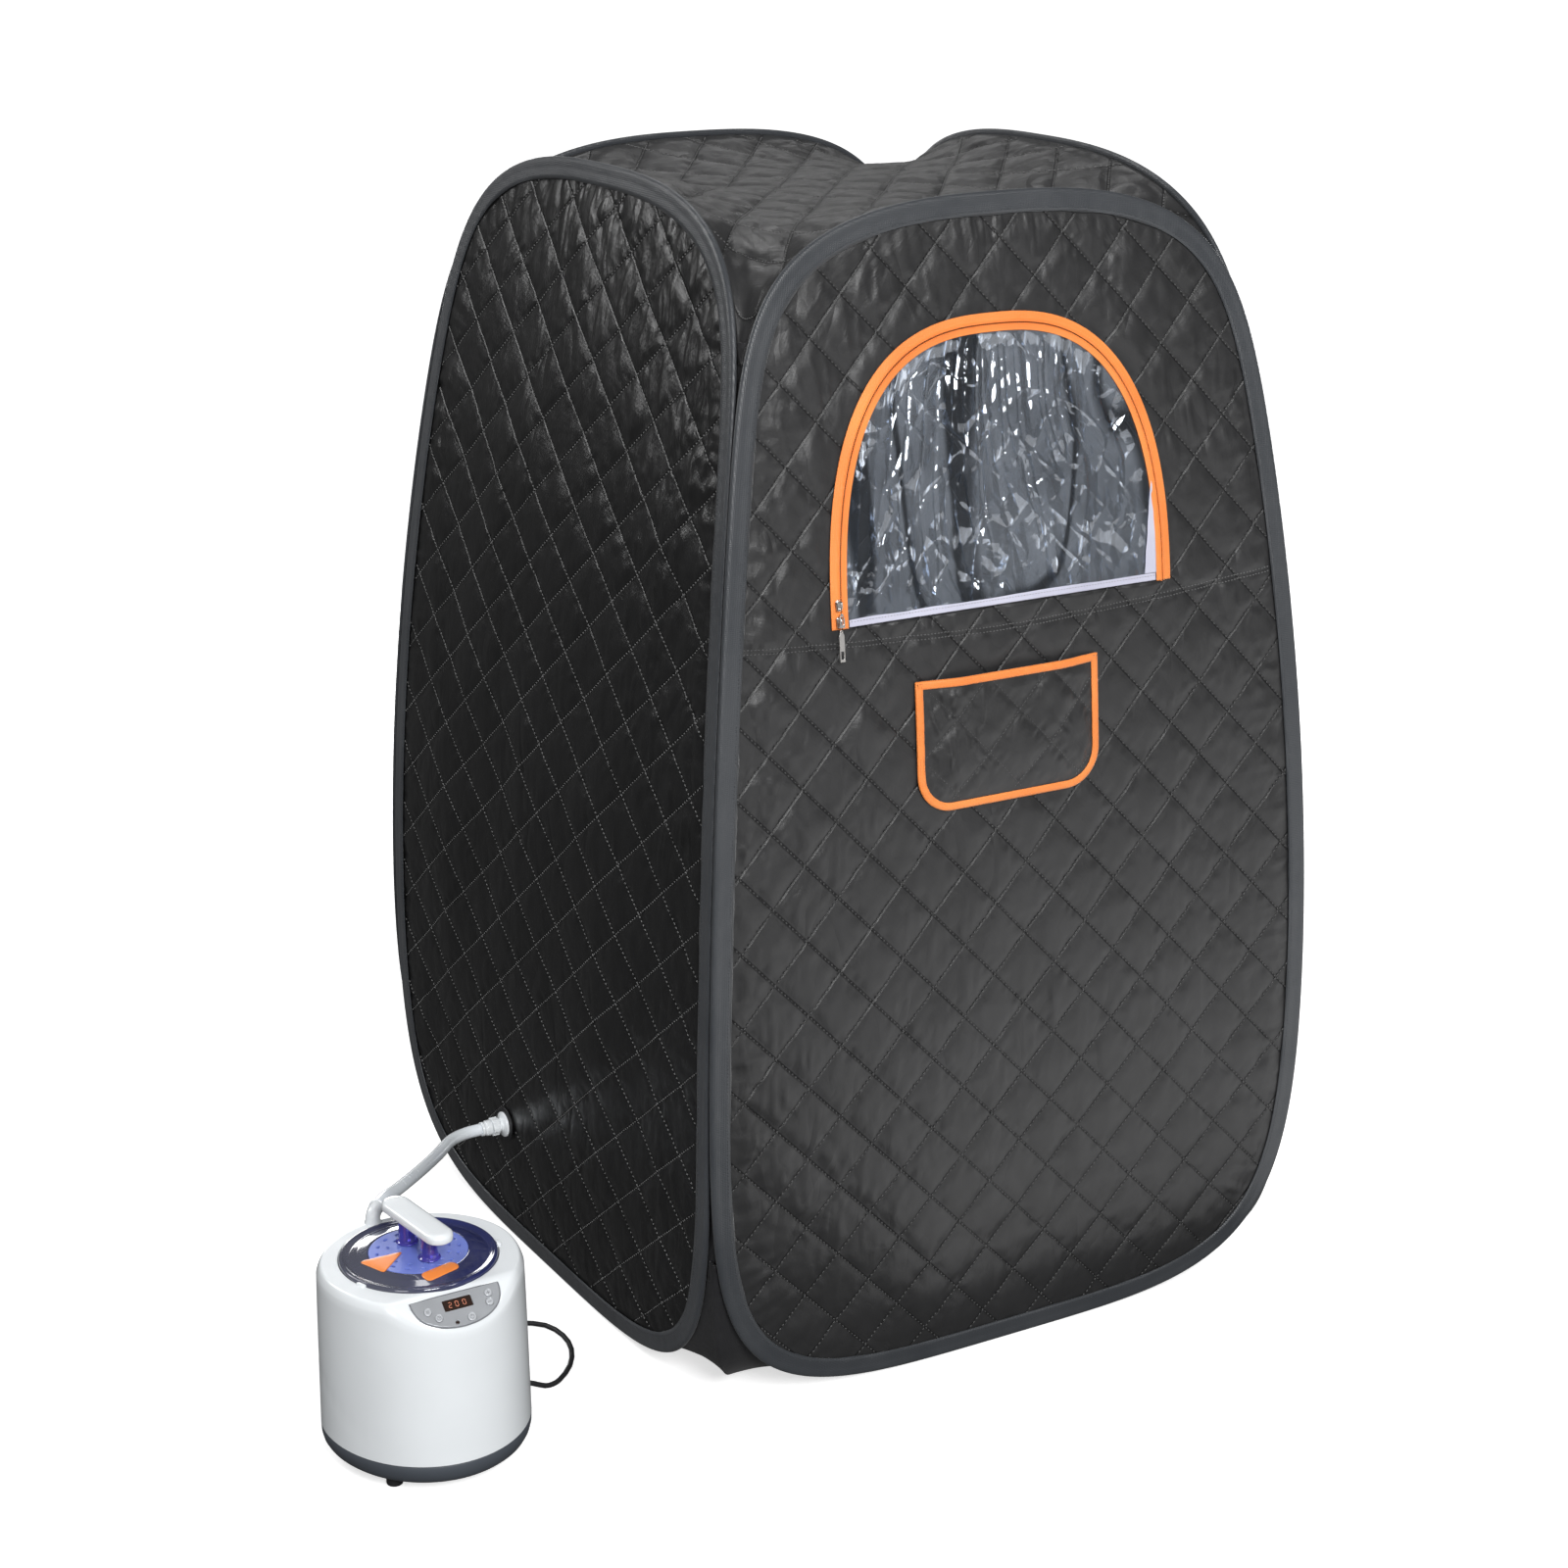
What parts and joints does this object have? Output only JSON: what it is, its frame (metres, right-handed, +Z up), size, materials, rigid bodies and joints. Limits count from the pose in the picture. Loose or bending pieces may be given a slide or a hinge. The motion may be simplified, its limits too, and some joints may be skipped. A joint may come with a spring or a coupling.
{
  "type": "portable steam sauna",
  "caption": "Pop-up quilted steam cabin on spring hoops with a zipped clear window flap and pocket, joined by a hose to a round steam pot.",
  "frame": {"origin": "floor under the middle of the cabin", "axes": "+X to the right seen from the front, -Y out of the front, +Z up"},
  "size_m": [1.2768, 0.926, 1.412],
  "materials": {
    "edge_binding": "plain dark grey woven tape",
    "quilted_satin": "shiny quilted satin",
    "orange_tape": "orange woven zip tape and binding",
    "hoop_steel": "spring steel wire",
    "clear_film": "clear flexible film, creased",
    "zip_metal": "nickel plated zinc",
    "white_shell": "white gloss",
    "slate_base": "dark slate",
    "soft_rubber": "black rubber",
    "pot_steel": "stainless steel",
    "blue_lid": "translucent deep blue",
    "fascia": "silver grey film",
    "display": "dark brown display lens",
    "hose": "translucent milky hose"
  },
  "bodies": {
    "front_wall": {"front_hoop": "hoop_steel", "front_edge_tape": "edge_binding", "front_wall": "quilted_satin", "roof_sheet": "quilted_satin", "floor_sheet": "quilted_satin", "zip_outer_tape": "orange_tape", "pocket_patch": "quilted_satin", "pocket_edge_tape": "orange_tape"},
    "left_side": {"left_hoop": "hoop_steel", "left_edge_tape": "edge_binding", "left_wall": "quilted_satin", "hose_port_grommet": "soft_rubber"},
    "right_side": {"right_hoop": "hoop_steel", "right_edge_tape": "edge_binding", "right_wall": "quilted_satin"},
    "back_side": {"back_hoop": "hoop_steel", "back_edge_tape": "edge_binding", "back_wall": "quilted_satin"},
    "window_flap": {"window_sheet": "clear_film", "zip_inner_tape": "orange_tape", "window_hem": "clear_film"},
    "slider_upper": {"zip_slider_upper": "zip_metal"},
    "slider_lower": {"zip_slider_lower": "zip_metal"},
    "pull_upper": {"zip_pull_upper": "zip_metal"},
    "pull_lower": {"zip_pull_lower": "zip_metal"},
    "steam_pot": {"pot_shell": "white_shell", "pot_base": "slate_base", "foot_1": "soft_rubber", "foot_2": "soft_rubber", "foot_3": "soft_rubber", "foot_4": "soft_rubber", "water_pot": "pot_steel", "heating_plate": "pot_steel", "control_board": "slate_base", "control_fascia": "fascia", "display_window": "display", "receiver_window": "soft_rubber", "steam_elbow": "white_shell", "steam_hose": "hose", "hose_collar": "white_shell", "port_connector": "white_shell", "mains_lead": "soft_rubber", "lead_gland": "soft_rubber", "lead_coil": "soft_rubber", "lead_tail": "soft_rubber", "mains_plug": "soft_rubber"},
    "lid": {"lid_ring": "blue_lid", "steam_diffuser": "blue_lid", "lid_seal": "soft_rubber", "lid_post_front": "blue_lid", "lid_post_back": "blue_lid", "lid_bridge": "white_shell"},
    "plus_button": {"plus_button": "white_shell"},
    "minus_button": {"minus_button": "white_shell"},
    "mode_button": {"mode_button": "white_shell"},
    "timer_button": {"timer_button": "white_shell"},
    "power_button": {"power_button": "white_shell"}
  },
  "joints": [
    {"name": "left_fold", "type": "hinge", "parent": "front_wall", "child": "left_side", "pos_m": [-0.35893, -0.45452, 0], "axis": [-0.0249, -0.0658, -0.9975], "range_deg": [0, 80], "stiffness_Nm_per_rad": 6, "springref_deg": -34.38, "deforming": ["roof_sheet", "floor_sheet"]},
    {"name": "right_fold", "type": "hinge", "parent": "front_wall", "child": "right_side", "pos_m": [0.46635, -0.48608, 0], "axis": [0.0657, -0.0598, -0.996], "range_deg": [0, 80]},
    {"name": "back_fold", "type": "hinge", "parent": "left_side", "child": "back_side", "pos_m": [-0.46635, 0.48608, 0], "axis": [0.0657, -0.0598, 0.996], "range_deg": [0, 80]},
    {"name": "window_flap_swing", "type": "hinge", "parent": "front_wall", "child": "window_flap", "pos_m": [-0.02, -0.43421, 0.9392], "axis": [1, 0, 0], "range_deg": [0, 150]},
    {"name": "zip_slider_upper_slide", "type": "slide", "parent": "front_wall", "child": "slider_upper", "axis": [0, 0.1171, 0.9931], "range_m": [0, 0.11]},
    {"name": "zip_slider_lower_slide", "type": "slide", "parent": "front_wall", "child": "slider_lower", "axis": [0, 0.1171, 0.9931], "range_m": [0, 0.11]},
    {"name": "zip_pull_upper_swing", "type": "hinge", "parent": "slider_upper", "child": "pull_upper", "pos_m": [-0.2455, -0.43835, 0.9609], "axis": [-1, 0, 0], "range_deg": [0, 120]},
    {"name": "zip_pull_lower_swing", "type": "hinge", "parent": "slider_lower", "child": "pull_lower", "pos_m": [-0.2455, -0.43781, 0.9419], "axis": [-1, 0, 0], "range_deg": [0, 80]},
    {"name": "steam_pot_draw", "type": "slide", "parent": "front_wall", "child": "steam_pot", "axis": [-1, 0, 0], "range_m": [0, 0.3]},
    {"name": "lid_turn", "type": "hinge", "parent": "steam_pot", "child": "lid", "pos_m": [-0.727, -0.31, 0.238], "axis": [0, 0, 1], "range_deg": [0, 20]},
    {"name": "plus_button_press", "type": "slide", "parent": "steam_pot", "child": "plus_button", "axis": [0, 0.6157, -0.788], "range_m": [0, 0.001], "stiffness_N_per_m": 900},
    {"name": "minus_button_press", "type": "slide", "parent": "steam_pot", "child": "minus_button", "axis": [0, 0.6157, -0.788], "range_m": [0, 0.001], "stiffness_N_per_m": 900},
    {"name": "mode_button_press", "type": "slide", "parent": "steam_pot", "child": "mode_button", "axis": [0, 0.6157, -0.788], "range_m": [0, 0.001], "stiffness_N_per_m": 900},
    {"name": "timer_button_press", "type": "slide", "parent": "steam_pot", "child": "timer_button", "axis": [0, 0.6157, -0.788], "range_m": [0, 0.001], "stiffness_N_per_m": 900},
    {"name": "power_button_press", "type": "slide", "parent": "steam_pot", "child": "power_button", "axis": [0, 0.6157, -0.788], "range_m": [0, 0.001], "stiffness_N_per_m": 900}
  ],
  "couplings": [
    {"joint": "right_fold", "follows": "left_fold", "ratio": 1},
    {"joint": "back_fold", "follows": "left_fold", "ratio": 1},
    {"joint": "zip_slider_lower_slide", "follows": "zip_slider_upper_slide", "ratio": 1}
  ]
}
